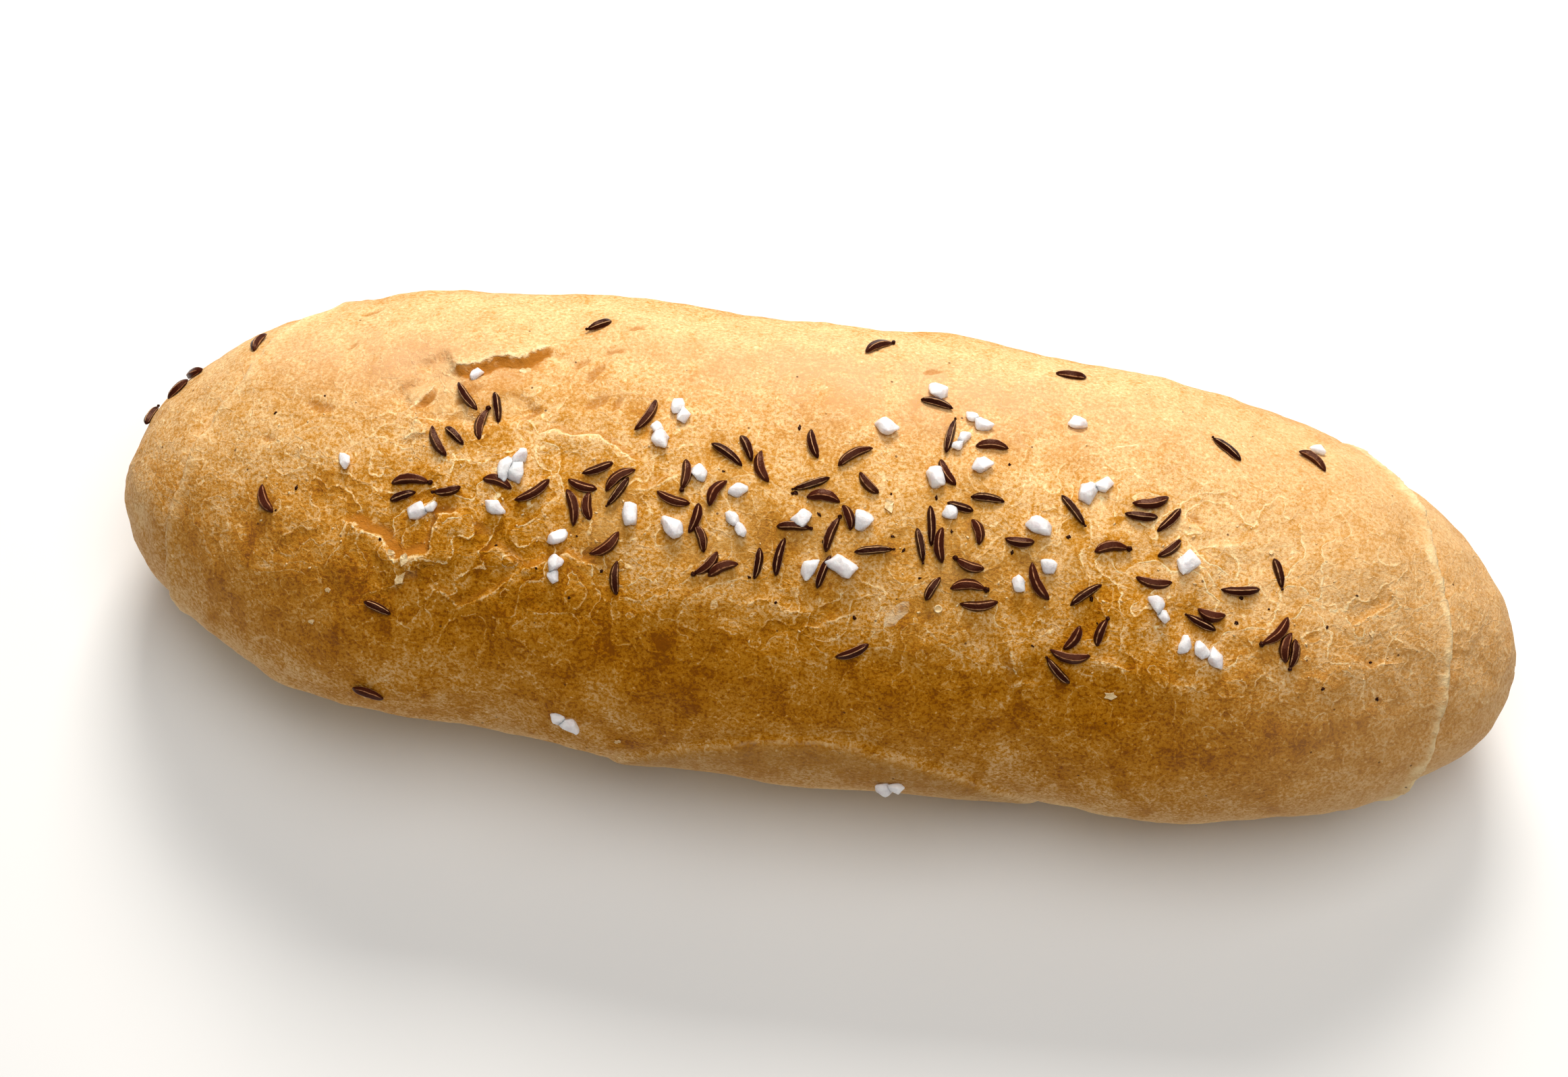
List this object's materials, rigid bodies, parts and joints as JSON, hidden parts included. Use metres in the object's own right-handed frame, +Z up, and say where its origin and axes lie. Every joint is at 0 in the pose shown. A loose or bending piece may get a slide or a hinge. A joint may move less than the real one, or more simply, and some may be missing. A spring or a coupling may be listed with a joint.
{
  "type": "bread roll",
  "caption": "Long rolled bread stick with blunt tapered ends, a browned flaky crust with seams near both ends, and caraway seeds and coarse salt baked onto the crest",
  "frame": {"origin": "centre of the flat underside, on the surface the roll rests on", "axes": "+X along the roll towards the end with the clear seam step, +Y towards the plain back, -Y towards the front with the tucked-in tongue of dough, +Z up"},
  "size_m": [0.19, 0.065, 0.0483],
  "materials": {
    "crust": "golden to deep golden brown baked crust, thin flaky skin, satin",
    "caraway": "dark brown ribbed caraway seed, slightly glossy",
    "salt": "white coarse salt grains, slightly translucent"
  },
  "bodies": {
    "root": {"roll": "crust"}
  },
  "joints": []
}
